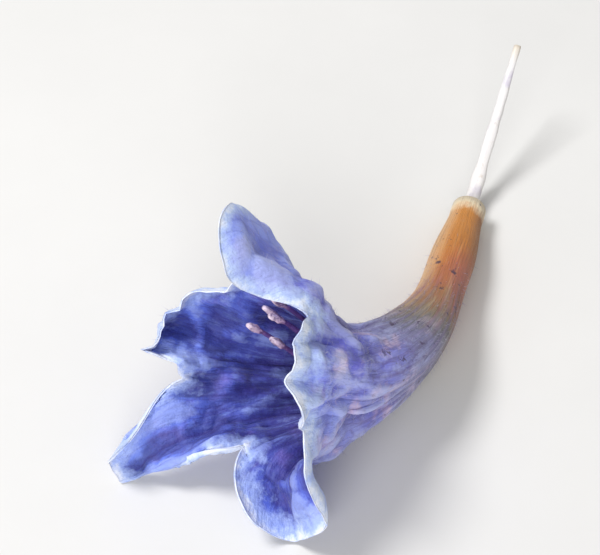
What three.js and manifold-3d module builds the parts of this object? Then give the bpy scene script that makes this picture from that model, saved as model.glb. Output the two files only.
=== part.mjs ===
// One dried flower of Persian borage, lying on a flat surface.
// Millimetres, +Z up. The origin is under the middle of the flower, on the surface it lies on.
//
// The corolla is one thin wall: an open tube that bends, widens into a pleated funnel and spreads
// into five uneven lobes. A point of its middle surface is found by its distance s along the petal
// from the base end and by its angle a, in degrees, around the flower's axis. Angle 0 is the side
// turned up. A style runs through the bore, and five stamens stand on the inner wall.
// The flower rests on the tips of its two lower lobes and on the base end of its tube.

import * as THREE from 'three';
import { mergeVertices } from 'three/addons/utils/BufferGeometryUtils.js';
import Module from 'manifold-3d';

// Axis of the flower, from the base end (s = 0) to the throat
const THROAT = 20.9; // length of the axis
const THROAT_PLACE = new THREE.Vector3(-2.94, -8.38, 6.36); // where the axis passes the throat
const BASE_HEADING = -106; // compass angle of the tube at its base end, degrees from +X
const THROAT_HEADING = -153;
const HEADING_TURN = [6.5, 17]; // stretch that swings sideways
const BASE_RISE = 8.35; // how steeply the tube climbs at its base end, degrees
const THROAT_RISE = 38;
const RISE_TURN = [12.5, 19]; // stretch that lifts
const AXIS_STEP = 0.1;

// Tube and funnel: the radius is that of the middle of the wall
const BASE_RADIUS = 0.68;
const TUBE_SLOPE = 0.05;
const FUNNEL_SLOPE = 0.26; // widening that the funnel adds
const FUNNEL_TURN = [5, 11];
const FUNNEL_EASE = 0.6; // share of it that is lost again towards the throat
const EASE_TURN = [13, 18];
const TUBE_WALL = 0.45;
const PETAL_WALL = 0.6;
const WALL_TURN = [9, 16];

// Pleats, flattening and dents of the dried funnel
const PLEAT = 0.26; // ridge along the middle of each lobe
const PLEAT_EASE = 0.4; // share of it that the free lobe loses
const PLEAT_TURN = [7, 18];
const SIDE_PLEAT = 0.045; // smaller ridges a third of the way to its edges
const SIDE_PLEAT_TURN = [12, 20];
const FLATTENING = 0.09; // share of the radius
const FLAT_ANGLE = 40;
const DENTS = [
  { s: 4.2, a: 200, along: 2.4, around: 400, depth: 0.2 },
  { s: 18.5, a: -62, along: 3.2, around: 26, depth: -0.6 },
  { s: 16.5, a: 36, along: 3.2, around: 38, depth: -1.2 },
  { s: 19.0, a: 20, along: 2.4, around: 26, depth: -0.6 },
  { s: 14.8, a: 205, along: 4.5, around: 55, depth: -1.15 },
  { s: 13.6, a: 262, along: 4.2, around: 36, depth: -0.6 },
  { s: 13.4, a: 45, along: 3.0, around: 42, depth: -0.5 },
];

// Crumples: rounded creases that run across the petal, with turns around and turn per mm along
const CRUMPLES = [
  { around: 7, along: 0.9, start: 0.4, height: 0.17 },
  { around: -5, along: 1.5, start: 1.9, height: 0.14 },
  { around: 11, along: -0.7, start: 3.1, height: 0.06 },
];
const CRUMPLE_TURN = [11, 22];
const CREASE_SHARPNESS = 0.85;

// Lobes. angle: middle of the lobe; tip: length of the petal to its tip; blunt: how blunt the tip is;
// flare: turn away from the axis; curl: extra turn of the tip; narrow: narrowing towards the tip;
// fold: height of the edges over the midrib (back is positive); twist: turn of one side against the
// other; waves, ruffle: number and height of the margin's waves; notch: angle and length of the petal
// at the notch that follows the lobe
const LOBES = [
  {
    angle: 31, tip: 26.9, blunt: 1.8, flare: 33, curl: -4, narrow: 0.38,
    fold: 0.4, twist: 10, waves: 2.3, ruffle: 0.15, notch: [54, 22.2],
  },
  {
    angle: 119, tip: 25.2, blunt: 1.15, flare: 46, curl: -10, narrow: 0.15,
    fold: -0.6, twist: -12, waves: 2.2, ruffle: 0.28, notch: [143, 22.6],
  },
  {
    angle: 170, tip: 26.8, blunt: 4.0, flare: 68, curl: 10, narrow: 0.8,
    fold: 1.2, twist: 0, waves: 1.8, ruffle: 0.12, notch: [195, 20.8],
  },
  {
    angle: 230, tip: 25.1, blunt: 2.4, flare: 104, curl: -6, narrow: 0.3,
    fold: -0.9, twist: 4, waves: 2.6, ruffle: 0.3, notch: [278, 21.4],
  },
  {
    angle: 314, tip: 24.4, blunt: 3.2, flare: 8, curl: -4, narrow: 0.2,
    fold: 0.3, twist: 10, waves: 3.1, ruffle: 0.16, notch: [350, 22.6],
  },
];

// Bends of the petal that don't keep to one lobe: middle and reach around, the lengths between which
// a bend grows, and its turn in degrees (inward is negative)
const BENDS = [
  { a: -3, around: 26, grows: [21.2, 24.4], turn: -56 },
  { a: 119, around: 24, grows: [22.2, 24.6], turn: -70 },
  { a: 264, around: 16, grows: [20.6, 23.4], turn: 30 },
  { a: 232, around: 30, grows: [18.8, 21.2], turn: 44 },
];
const LOBE_CORE = 0.25; // share of a lobe's half width that keeps the lobe's own form
const FLARE_TURN = [19.3, 24];
const CURL_START = 21.3;
const FREE_START = 19.8; // where the petal begins to move freely
const FREE_FULL = 1.2; // distance from the tip where it moves fully
const LOBE_ROUNDNESS = 1.2;
const NARROW_PAST = 1; // distance past the tip where the narrowing would be full
const FOLD_SOFTNESS = 0.26;
const FOLD_MEAN = 0.35;

// Stamens: all lean over to one side in the throat, around a point off the axis
const STAMENS = [
  { angle: 20, end: 21.6 },
  { angle: 92, end: 21.0 },
  { angle: 164, end: 22.0 },
  { angle: 236, end: 21.2 },
  { angle: 308, end: 22.3 },
];
const STAMEN_ROOT = 10; // place along the axis
const ROOT_RING = 0.75; // distance of the roots from the axis
const TIP_RING = 0.95;
const LEAN = new THREE.Vector2(1.5, 2.2); // up and aside
const LEAN_TURN = [14, 22];
const FILAMENT_RADIUS = 0.2;
const ANTHER_RADIUS = 0.34;
const ANTHER_LENGTH = 1.3;
const ANTHER_PROFILE = [0.06, 0.96]; // part of a half wave that rounds it off
const STAMEN_STEPS = 20;
const STAMEN_SIDES = 7;

// Style: a thread through the bore, free beyond the base end, with a small split tip in the funnel
const STYLE_RADIUS = 0.24;
const STYLE_THIN = 0.18; // radius at its free end
const STYLE_FREE = 9.9; // length beyond the base end
const STYLE_BEND = 2.2; // stretch of it that bends
const STYLE_LIFT = 32; // rise of the free end, degrees
const STYLE_SWING = 4; // sideways turn of the free end, degrees
const STYLE_END = 17; // place along the axis
const STIGMA_RADIUS = 0.32;
const STIGMA_LENGTH = 0.7;
const STYLE_STEP = 0.75;
const STYLE_SIDES = 8;

// Mesh of the corolla
const LOBE_COLUMNS = 15;
const NOTCH_CROWDING = 0.6; // how much closer the columns stand near a notch
const PROBE = 0.02; // distance at which the slope of the surface is felt
const TUBE_ROWS = [
  0, 1.3, 2.7, 4.1, 5.5, 6.8, 8, 9.2, 10.3, 11.4, 12.5, 13.6, 14.7, 15.8, 16.9, 17.9, 18.9, 19.8, 20.7,
];
const LOBE_ROWS = 9;

const GROUND = [80, 80, 4]; // block that cuts the feet flat

const RADIANS = Math.PI / 180;
const UP = new THREE.Vector3(0, 0, 1);

function smooth([from, to], x) {
  const t = Math.min(1, Math.max(0, (x - from) / (to - from)));
  return t * t * (3 - 2 * t);
}

function mix(a, b, t) {
  return a + (b - a) * t;
}

function direction(turn, rise) {
  const level = Math.cos(rise * RADIANS);
  return new THREE.Vector3(
    level * Math.cos(turn * RADIANS),
    level * Math.sin(turn * RADIANS),
    Math.sin(rise * RADIANS),
  );
}

// Direction of the axis at length s
function heading(s) {
  return direction(
    mix(BASE_HEADING, THROAT_HEADING, smooth(HEADING_TURN, s)),
    mix(BASE_RISE, THROAT_RISE, smooth(RISE_TURN, s)),
  );
}

// Points of the axis at every AXIS_STEP, walked back from the throat to the base end
function axisPoints() {
  const points = [THROAT_PLACE.clone()];
  for (let i = Math.round(THROAT / AXIS_STEP); i > 0; i -= 1) {
    const step = heading((i - 0.5) * AXIS_STEP).multiplyScalar(-AXIS_STEP);
    points.unshift(points[0].clone().add(step));
  }
  return points;
}

const AXIS = axisPoints();

// Frame of the axis at length s: point, direction, the side turned up, and the third side.
// Past either end the axis runs on straight.
function axisFrame(s) {
  const held = Math.min(THROAT, Math.max(0, s));
  const place = Math.min(held / AXIS_STEP, AXIS.length - 1.001);
  const i = Math.floor(place);
  const along = heading(held);
  const point = AXIS[i].clone().lerp(AXIS[i + 1], place - i).addScaledVector(along, s - held);
  const top = UP.clone().addScaledVector(along, -along.z).normalize();
  const side = along.clone().cross(top);
  return { point, along, top, side };
}

// A point beside the axis: up and aside are distances from it
function besideAxis(s, up, aside) {
  const { point, top, side } = axisFrame(s);
  return point.addScaledVector(top, up).addScaledVector(side, aside);
}

// The lobe that angle a belongs to, the next lobe on that side and the petal's length at the notch
// between them. x runs from -1 to 1 across the lobe.
function lobeAt(a) {
  const count = LOBES.length;
  for (let k = 0; k < count; k += 1) {
    const lobe = LOBES[k];
    const before = LOBES[(k + count - 1) % count];
    const after = LOBES[(k + 1) % count];
    const low = before.notch[0] - (k === 0 ? 360 : 0);
    const high = lobe.notch[0];
    for (const turned of [a - 360, a]) {
      const offset = turned - lobe.angle;
      if (turned >= low && offset < 0) {
        return { lobe, next: before, notch: before.notch[1], x: offset / (lobe.angle - low), offset };
      }
      if (offset >= 0 && turned < high) {
        return { lobe, next: after, notch: lobe.notch[1], x: offset / (high - lobe.angle), offset };
      }
    }
  }
  throw new Error(`no lobe at ${a}`);
}

// A property of the lobes: the lobe's own in its middle, halfway to the next lobe's at a notch
function lobeValue(found, name) {
  const share = 0.5 * smooth([LOBE_CORE, 1], Math.abs(found.x));
  return mix(found.lobe[name], found.next[name], share);
}

function marginLength(found) {
  const outline = (1 - Math.abs(found.x) ** found.lobe.blunt) ** LOBE_ROUNDNESS;
  return mix(found.notch, found.lobe.tip, outline);
}

// Degrees between a and the angle middle, from -180 to 180
function awayFrom(a, middle) {
  return ((a - middle + 540) % 360) - 180;
}

// Angle between the petal's run and the axis at angle a and length s, in radians
function slopeAngle(found, a, s) {
  const widening = FUNNEL_SLOPE * smooth(FUNNEL_TURN, s) * (1 - FUNNEL_EASE * smooth(EASE_TURN, s));
  const funnel = Math.asin(TUBE_SLOPE + widening) / RADIANS;
  const twist = found.lobe.twist * Math.sin(found.x * Math.PI) * (1 - found.x * found.x);
  const flare = lobeValue(found, 'flare') + twist;
  const curl = lobeValue(found, 'curl') * smooth([CURL_START, lobeValue(found, 'tip')], s);
  let bent = 0;
  for (const bend of BENDS) {
    const away = awayFrom(a, bend.a);
    bent += bend.turn * smooth(bend.grows, s) * Math.exp(-((away / bend.around) ** 2));
  }
  return (mix(funnel, flare, smooth(FLARE_TURN, s)) + curl + bent) * RADIANS;
}

// Rounded crease: a wave with nearly straight sides between -1 and 1
function crease(phase) {
  return Math.asin(CREASE_SHARPNESS * Math.sin(phase)) / Math.asin(CREASE_SHARPNESS);
}

// Height of the petal over its plain form, along its outward normal
function relief(found, a, s, radius) {
  const pleated = smooth(PLEAT_TURN, s);
  const doubled = smooth(SIDE_PLEAT_TURN, s);
  const free = smooth([FREE_START, lobeValue(found, 'tip') - FREE_FULL], s);
  let height = pleated * PLEAT * Math.cos(Math.PI * found.x) * (1 - PLEAT_EASE * free);
  height -= doubled * SIDE_PLEAT * Math.cos(3 * Math.PI * found.x);
  height += pleated * FLATTENING * radius * Math.cos(2 * (a - FLAT_ANGLE) * RADIANS);
  for (const dent of DENTS) {
    const away = awayFrom(a, dent.a);
    height += dent.depth * Math.exp(-(((s - dent.s) / dent.along) ** 2) - (away / dent.around) ** 2);
  }
  for (const fold of CRUMPLES) {
    const phase = fold.around * a * RADIANS + fold.along * s + fold.start;
    height += fold.height * smooth(CRUMPLE_TURN, s) * crease(phase);
  }
  height += lobeValue(found, 'fold') * (Math.hypot(found.x, FOLD_SOFTNESS) - FOLD_MEAN) * free;
  const wave = Math.sin(found.lobe.waves * Math.PI * found.x + found.lobe.angle);
  return height + found.lobe.ruffle * free * free * (1 - found.x ** 4) * wave;
}

// Points of the petal's middle surface at angle a and the rising lengths stops
function petalLine(a, stops) {
  const found = lobeAt(a);
  let radius = BASE_RADIUS;
  let along = 0;
  let walked = 0;
  return stops.map((s) => {
    const steps = Math.max(1, Math.round((s - walked) / AXIS_STEP));
    const step = (s - walked) / steps;
    for (let i = 0; i < steps; i += 1) {
      const slope = slopeAngle(found, a, walked + (i + 0.5) * step);
      radius += Math.sin(slope) * step;
      along += Math.cos(slope) * step;
    }
    walked = s;
    const slope = slopeAngle(found, a, s);
    const height = relief(found, a, s, radius);
    const narrowing = found.lobe.narrow * smooth([found.notch, found.lobe.tip + NARROW_PAST], s);
    const turned = (a - found.offset * narrowing) * RADIANS;
    const reach = radius + height * Math.cos(slope);
    const point = besideAxis(along, reach * Math.cos(turned), reach * Math.sin(turned));
    return point.addScaledVector(heading(Math.min(along, THROAT)), -height * Math.sin(slope));
  });
}

// Angles of the columns, lobe by lobe from notch to notch
function columnAngles() {
  const angles = [];
  LOBES.forEach((lobe, k) => {
    const low = LOBES[(k + LOBES.length - 1) % LOBES.length].notch[0] - (k === 0 ? 360 : 0);
    for (let i = 0; i < LOBE_COLUMNS; i += 1) {
      const even = (2 * i) / LOBE_COLUMNS - 1;
      const x = mix(even, Math.sin((even * Math.PI) / 2), NOTCH_CROWDING);
      angles.push((lobe.angle + x * (x < 0 ? lobe.angle - low : lobe.notch[0] - lobe.angle) + 360) % 360);
    }
  });
  return angles;
}

// One column of the corolla: points of the outer and the inner face at angle a, base to margin
function wallColumn(a) {
  const margin = marginLength(lobeAt(a));
  const stops = TUBE_ROWS.slice();
  const last = stops[stops.length - 1];
  for (let j = 1; j <= LOBE_ROWS; j += 1) stops.push(mix(last, margin, j / LOBE_ROWS));
  const points = petalLine(a, stops);
  const further = petalLine(a, stops.map((s) => s + PROBE));
  const turn = PROBE / RADIANS;
  const before = petalLine((a - turn + 360) % 360, stops);
  const after = petalLine((a + turn) % 360, stops);
  return points.map((point, j) => {
    const along = further[j].sub(point);
    const normal = after[j].sub(before[j]).cross(along).normalize();
    const half = mix(TUBE_WALL, PETAL_WALL, smooth(WALL_TURN, stops[j])) / 2;
    return [half, -half].map((height) => point.clone().addScaledVector(normal, height));
  });
}

function geometryOf(positions, faces) {
  const geometry = new THREE.BufferGeometry();
  geometry.setAttribute('position', new THREE.Float32BufferAttribute(positions, 3));
  geometry.setIndex(faces);
  geometry.computeVertexNormals();
  return geometry;
}

// Closed wall around the middle surface, split into triangles alike on both faces
function corollaWall() {
  const columns = columnAngles().map(wallColumn);
  const count = columns.length;
  const rows = columns[0].length;
  const positions = [];
  for (const face of [0, 1]) {
    for (const column of columns) {
      for (const sides of column) positions.push(...sides[face]);
    }
  }
  const inner = count * rows;
  const vertex = (i, j) => (i % count) * rows + j;
  const faces = [];
  for (let i = 0; i < count; i += 1) {
    for (let j = 0; j < rows - 1; j += 1) {
      const a = vertex(i, j);
      const b = vertex(i + 1, j);
      const c = vertex(i + 1, j + 1);
      const d = vertex(i, j + 1);
      faces.push(a, b, c, a, c, d);
      faces.push(inner + a, inner + c, inner + b, inner + a, inner + d, inner + c);
    }
    const [a, b] = [vertex(i, 0), vertex(i + 1, 0)];
    const [c, d] = [vertex(i, rows - 1), vertex(i + 1, rows - 1)];
    faces.push(b, a, inner + a, b, inner + a, inner + b);
    faces.push(c, d, inner + d, c, inner + d, inner + c);
  }
  return geometryOf(positions, faces);
}

// Thread of changing thickness along a list of points, closed at both ends
function thread(points, radii, sides) {
  const positions = [];
  const faces = [];
  let across = null;
  points.forEach((point, i) => {
    const before = points[Math.max(i - 1, 0)];
    const run = points[Math.min(i + 1, points.length - 1)].clone().sub(before).normalize();
    across = across ?? UP.clone();
    across = across.clone().addScaledVector(run, -across.dot(run)).normalize();
    const third = run.clone().cross(across);
    for (let k = 0; k < sides; k += 1) {
      const turn = (2 * Math.PI * k) / sides;
      const rim = point.clone().addScaledVector(across, radii[i] * Math.cos(turn));
      positions.push(...rim.addScaledVector(third, radii[i] * Math.sin(turn)));
    }
  });
  const last = (points.length - 1) * sides;
  const ends = points.length * sides;
  positions.push(...points[0], ...points[points.length - 1]);
  for (let k = 0; k < sides; k += 1) {
    const next = (k + 1) % sides;
    for (let i = 0; i < last; i += sides) {
      faces.push(i + k, i + next, i + sides + next, i + k, i + sides + next, i + sides + k);
    }
    faces.push(ends, next, k, ends + 1, last + k, last + next);
  }
  return geometryOf(positions, faces);
}

// Where the middle of the stamens lies over the axis at length s
function lean(s) {
  return LEAN.clone().multiplyScalar(smooth(LEAN_TURN, s));
}

// Filament and anther in one body: thin from the root, thick and blunt at the end
function stamenGeometry({ angle, end }) {
  const points = [];
  const radii = [];
  for (let i = 0; i <= STAMEN_STEPS; i += 1) {
    const s = mix(STAMEN_ROOT, end, i / STAMEN_STEPS);
    const ring = mix(ROOT_RING, TIP_RING, smooth([STAMEN_ROOT, THROAT], s));
    const middle = lean(s);
    points.push(
      besideAxis(
        s,
        middle.x + ring * Math.cos(angle * RADIANS),
        middle.y + ring * Math.sin(angle * RADIANS),
      ),
    );
    const into = (s - (end - ANTHER_LENGTH)) / ANTHER_LENGTH;
    const swell = into > 0 ? Math.sqrt(Math.sin(Math.PI * mix(...ANTHER_PROFILE, into))) : 0;
    radii.push(Math.max(FILAMENT_RADIUS, ANTHER_RADIUS * swell));
  }
  return thread(points, radii, STAMEN_SIDES);
}

// The style, from its free end through the bore to its tip in the funnel
function styleGeometry() {
  const points = [];
  const radii = [];
  const free = [axisFrame(0).point];
  const steps = Math.round(STYLE_FREE / STYLE_STEP);
  for (let i = 0; i < steps; i += 1) {
    const bend = smooth([0, STYLE_BEND], (i + 0.5) * STYLE_STEP);
    const run = direction(BASE_HEADING + 180 - STYLE_SWING * bend, mix(-BASE_RISE, STYLE_LIFT, bend));
    free.unshift(free[0].clone().addScaledVector(run, STYLE_STEP));
  }
  free.forEach((point, i) => {
    points.push(point);
    radii.push(mix(STYLE_THIN, STYLE_RADIUS, i / steps));
  });
  const inside = Math.round(STYLE_END / STYLE_STEP);
  for (let i = 1; i <= inside; i += 1) {
    const s = (STYLE_END * i) / inside;
    const middle = lean(s);
    points.push(besideAxis(s, middle.x, middle.y));
    radii.push(mix(STYLE_RADIUS, STIGMA_RADIUS, smooth([STYLE_END - STIGMA_LENGTH, STYLE_END], s)));
  }
  return thread(points, radii, STYLE_SIDES);
}

// Cuts a body off flat at the surface it lies on
function restFlat(geometry, wasm) {
  const solidOf = (shape) => {
    const bare = shape.clone();
    bare.deleteAttribute('normal');
    bare.deleteAttribute('uv');
    const merged = mergeVertices(bare, 1e-5);
    return new wasm.Manifold(
      new wasm.Mesh({
        numProp: 3,
        vertProperties: new Float32Array(merged.attributes.position.array),
        triVerts: new Uint32Array(merged.index.array),
      }),
    );
  };
  const ground = new THREE.BoxGeometry(...GROUND).translate(0, 0, -GROUND[2] / 2);
  const cut = solidOf(geometry).subtract(solidOf(ground)).getMesh();
  return geometryOf([...cut.vertProperties], [...cut.triVerts]);
}

function finish(color, roughness) {
  return new THREE.MeshStandardMaterial({ color, roughness, metalness: 0 });
}

function piece(name, geometry, material) {
  const mesh = new THREE.Mesh(geometry, material);
  mesh.name = name;
  return mesh;
}

const wasm = await Module();
wasm.setup();

const group = new THREE.Group();
group.add(piece('corolla', restFlat(corollaWall(), wasm), finish(0x4a4ea8, 0.75)));
group.add(piece('style', styleGeometry(), finish(0xe9e2cf, 0.6)));
STAMENS.forEach((stamen, i) => {
  group.add(piece(`stamen_${i + 1}`, stamenGeometry(stamen), finish(0xc58aa6, 0.7)));
});

export default group;
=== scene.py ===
"""One dried Persian borage flower on a white surface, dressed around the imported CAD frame.

Metres, +Z up, +Y from the lobes to the base end of the tube. Shapes are worked out in millimetres
and the meshes are made in metres. The axis, the tube and the funnel are those of the part's
source; the petal is thinner here, with its folds, turned rims, veins and hairs.
A point of the petal is found by its length s from the base end and its angle a around the axis,
in degrees from the upper side.
"""

import math

import bpy
import numpy as np
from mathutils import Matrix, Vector, noise


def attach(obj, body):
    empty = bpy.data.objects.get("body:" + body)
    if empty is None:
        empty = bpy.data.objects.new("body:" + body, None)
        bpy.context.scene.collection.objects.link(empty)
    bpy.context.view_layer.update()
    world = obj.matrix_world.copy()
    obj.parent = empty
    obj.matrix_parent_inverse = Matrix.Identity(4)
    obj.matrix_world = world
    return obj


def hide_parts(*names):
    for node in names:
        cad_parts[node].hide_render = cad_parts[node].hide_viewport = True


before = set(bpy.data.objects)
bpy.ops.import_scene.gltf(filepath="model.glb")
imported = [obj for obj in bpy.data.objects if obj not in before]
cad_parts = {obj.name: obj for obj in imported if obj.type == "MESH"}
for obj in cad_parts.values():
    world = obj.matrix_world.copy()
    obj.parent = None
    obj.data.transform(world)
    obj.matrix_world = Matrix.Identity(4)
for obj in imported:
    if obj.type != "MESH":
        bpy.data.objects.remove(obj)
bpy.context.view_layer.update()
MM = 0.001
BODY = "root"

# Axis of the flower: its length, where it passes the throat, and how it turns and climbs
THROAT = 20.9
THROAT_PLACE = (-2.94, -8.38, 6.36)
BASE_HEADING, THROAT_HEADING, HEADING_TURN = -106, -153, (6.5, 17)
BASE_RISE, THROAT_RISE, RISE_TURN = 8.35, 38, (12.5, 19)
AXIS_STEP = 0.1
LAST_STEP = 1.001  # keeps a place on the axis short of its last point
TINY = 1e-12

# Tube and funnel
BASE_RADIUS = 0.68
TUBE_SLOPE, FUNNEL_SLOPE, FUNNEL_TURN = 0.05, 0.26, (5, 11)
FUNNEL_EASE, EASE_TURN = 0.6, (13, 18)
PLEAT, PLEAT_EASE, PLEAT_TURN = 0.26, 0.4, (7, 18)
SIDE_PLEAT, SIDE_PLEAT_TURN = 0.045, (12, 20)
FLATTENING, FLAT_ANGLE = 0.09, 40
DENTS = [  # s, angle, reach along, reach around, depth
    (4.2, 200, 2.4, 400, 0.2),
    (18.5, -62, 3.2, 26, -0.6),
    (16.5, 36, 3.2, 38, -1.2),
    (19.0, 20, 2.4, 26, -0.6),
    (14.8, 205, 4.5, 55, -1.15),
    (13.6, 262, 4.2, 36, -0.6),
    (13.4, 45, 3.0, 42, -0.5),
]
CRUMPLES = [  # turns around, turn per mm along, start, height
    (7, 0.9, 0.4, 0.17),
    (-5, 1.5, 1.9, 0.14),
    (11, -0.7, 3.1, 0.06),
]
CRUMPLE_TURN, CREASE_SHARPNESS = (11, 22), 0.85

# Lobes: top, left, lower left, lower right, right. Turns are in degrees and sizes in mm.
# angle: place of the lobe's middle; tip: length s at its tip; blunt: how blunt its outline is;
# flare: how far it stands off the axis; curl: further turn up to its tip; narrow: share by
# which its sides draw in; fold: how much higher its sides stand than its middle; twist: turn
# of one side against the other; waves, ruffle: number and height of the waves across it;
# notch: angle and length s of the notch after it; pale: width of the bleached margin, which is
# partly painted light; roll: extra turn of the thin rim; frill: height of the margin's frill;
# lift: how far the rim is turned up towards the inner side; gather: how far the sides are
# rolled in towards the midrib; crumple: height of the crumples against those of the funnel;
# and last, how light the inner face is painted: painted light and shade, lobe by lobe
LOBES = [
    dict(angle=31, tip=26.9, blunt=1.8, flare=33, curl=-4, narrow=0.38,
         fold=0.4, twist=10, waves=2.3, ruffle=0.15, notch=(54, 22.2),
         pale=0.9, roll=-24, frill=0.14, lift=0.3, gather=0.2, crumple=0.9,
         painted_lobe_light=0.75),
    dict(angle=128, tip=25.6, blunt=0.9, flare=46, curl=-10, narrow=0.15,
         fold=-0.6, twist=-12, waves=2.2, ruffle=0.28, notch=(143, 22.6),
         pale=1.8, roll=-30, frill=0.42, lift=0.55, gather=0.5, crumple=2.4,
         painted_lobe_light=1.0),
    dict(angle=170, tip=26.8, blunt=4.0, flare=68, curl=10, narrow=0.8,
         fold=1.2, twist=0, waves=1.8, ruffle=0.12, notch=(195, 20.8),
         pale=1.15, roll=-20, frill=0.12, lift=0.6, gather=1.0, crumple=1,
         painted_lobe_light=0.85),
    dict(angle=230, tip=23.8, blunt=2.6, flare=104, curl=-6, narrow=0.3,
         fold=-0.5, twist=4, waves=2.6, ruffle=0.3, notch=(278, 22.0),
         pale=1.8, roll=-40, frill=0.2, lift=0.2, gather=0.8, crumple=1.2,
         painted_lobe_light=0.45),
    dict(angle=314, tip=24.4, blunt=3.2, flare=8, curl=-4, narrow=0.2,
         fold=0.3, twist=10, waves=3.1, ruffle=0.16, notch=(350, 22.6),
         pale=2.6, roll=10, frill=0.14, lift=-0.2, gather=0, crumple=1.1,
         painted_lobe_light=0.5),
]
# Bends that don't keep to one lobe: angle, reach around, lengths between which they grow, turn
BENDS = [
    (-3, 26, (21.2, 24.4), -56),
    (117, 22, (22.2, 24.6), -50),
    (264, 16, (20.6, 23.4), 30),
    (232, 30, (18.8, 21.2), 44),
]
# Folds that run along a lobe: angle, reach around, lengths between which they grow, height
LONG_FOLDS = [
    (160, 5, (20.5, 23), -0.3),
    (171, 4.5, (19, 22), 0.38),
    (183, 4.5, (20, 22.5), -0.3),
    (116, 5, (20, 23), 0.24),
    (131, 4, (20, 23), -0.5),
    (140, 3.5, (20, 22.5), 0.3),
    (108, 4, (21.5, 24), -0.3),
    (228, 6, (18.5, 21.5), 0.22),
]
LOBE_CORE, FLARE_TURN, CURL_START = 0.25, (19.3, 24), 21.3
FREE_START, FREE_FULL = 19.8, 1.2
LOBE_ROUNDNESS, NARROW_PAST = 1.2, 1
FOLD_SOFTNESS, FOLD_MEAN = 0.26, 0.35

# Thin wall of the finished petal, half thickness in mm at lengths s
WALL_LENGTHS = (0, 0.5, 1.4, 8, 16, 21, 30)
WALL_HALVES = (0.19, 0.19, 0.15, 0.12, 0.09, 0.075, 0.07)
RIM_HALF, RIM_TAPER = 0.045, 0.5
COLLAR, COLLAR_TURN = 0.05, (0.9, 0.35)

# Fine wrinkles: size across, size along, height (negative: sharp on the inner face), and the
# lengths between which they grow
WRINKLES = [
    (1.5, 5.5, 0.16, (8, 19)),
    (0.9, 3.0, -0.1, (9, 20)),
    (1.2, 1.1, 0.08, (14, 21)),
]
WRINKLE_SHARPNESS = 3.2
# Crumpled facets between sharp creases, as of folded paper
FACET_ACROSS, FACET_ALONG, FACET_HEIGHT, FACET_BEGIN = 1.7, 2.8, 0.22, (12, 20)
FACET_EDGE, FACET_MEAN = 2.5, 0.5
WRINKLE_RING, STREAK_REACH = 4.6, 22
VEINS_ACROSS = (-0.62, -0.31, 0.0, 0.31, 0.62)
VEIN_WIDTH, VEIN_HEIGHT, SIDE_VEIN = 0.07, 0.045, 0.65
VEIN_SPREAD, SPREAD_TURN = 0.25, (18, 27)
VEIN_BEGIN, VEIN_FADE = (5, 10), (0, 1.2)
FRILL_SIZE, FRILL_ALONG, FRILL_DEPTH, FRILL_BEGIN = 0.9, 3.0, 1.2, (20.5, 22.5)
NIBBLES = [(0.9, 0.24), (0.45, 0.12)]  # size and depth of the bites in the margin
NIBBLE_START = 0.35
WRINKLE_SEED, FRILL_SEED, NIBBLE_SEED = 1, 9, 20
SEED_SHIFT = (7.31, 3.17, 5.53)
ROLL_REACH = 0.8
MARGIN_CALM, CALM_REACH = 0.35, 1.6  # share of the fine relief that reaches the margin
LIFT_REACH, LIFT_BEGIN = 0.75, (20.5, 22.5)
GATHER_REACH, GATHER_SIDE, NOTCH_EASE = 1.3, (0.25, 0.75), 2.4
MARGIN_SEARCH = 26  # columns on either side in which the nearest margin is looked for

# Mesh of the petal
LOBE_COLUMNS = 58
NOTCH_CROWDING = 0.45
TUBE_ROWS, LOBE_ROWS = 92, 62
TUBE_END = 20.7
TUBE_CROWDING = 0.8

# Places where the flower touches the surface it lies on
FEET = [(-9.4, -10.25), (-1.15, -13.2), (7.55, 6.35)]
FOOT_REACH = 2.2
FLOOR_GAP = 0.01
FLOOR_EASE = 0.08  # height below which the petal eases onto the floor


def smooth(turn, x):
    t = np.clip((x - turn[0]) / (turn[1] - turn[0]), 0, 1)
    return t * t * (3 - 2 * t)


def mix(a, b, t):
    return a + (b - a) * t


def direction(turn, rise):
    turn, rise = np.radians(turn), np.radians(rise)
    level = np.cos(rise)
    return np.stack([level * np.cos(turn), level * np.sin(turn), np.sin(rise)], -1)


def unit(v):
    return v / np.maximum(np.linalg.norm(v, axis=-1, keepdims=True), TINY)


def hill(away, reach):
    """1 at the middle of a rise, falling softly to both sides."""
    return np.exp(-((away / reach) ** 2))


def turn_from(angle, a):
    """Degrees from angle to a, the short way round."""
    return (a - angle + 540) % 360 - 180


def notch_before(k):
    """Angle of the notch that lobe k begins at."""
    return LOBES[k - 1]["notch"][0] - (360 if k == 0 else 0)


def heading(s):
    return direction(
        mix(BASE_HEADING, THROAT_HEADING, smooth(HEADING_TURN, s)),
        mix(BASE_RISE, THROAT_RISE, smooth(RISE_TURN, s)),
    )


def axis_points():
    steps = round(THROAT / AXIS_STEP)
    runs = heading((np.arange(steps) + 0.5) * AXIS_STEP) * AXIS_STEP
    back = np.cumsum(runs[::-1], axis=0)[::-1]
    return np.vstack([np.array(THROAT_PLACE) - back, THROAT_PLACE])


AXIS = axis_points()


def axis_frame(s):
    held = np.clip(s, 0, THROAT)
    place = np.minimum(held / AXIS_STEP, len(AXIS) - LAST_STEP)
    i = np.floor(place).astype(int)
    along = heading(held)
    point = mix(AXIS[i], AXIS[i + 1], (place - i)[..., None]) + along * (s - held)[..., None]
    top = unit(np.array([0, 0, 1.0]) - along * along[..., 2:])
    return point, along, top, np.cross(along, top)


def beside_axis(s, up, aside):
    point, _, top, side = axis_frame(s)
    return point + top * up[..., None] + side * aside[..., None]


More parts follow.
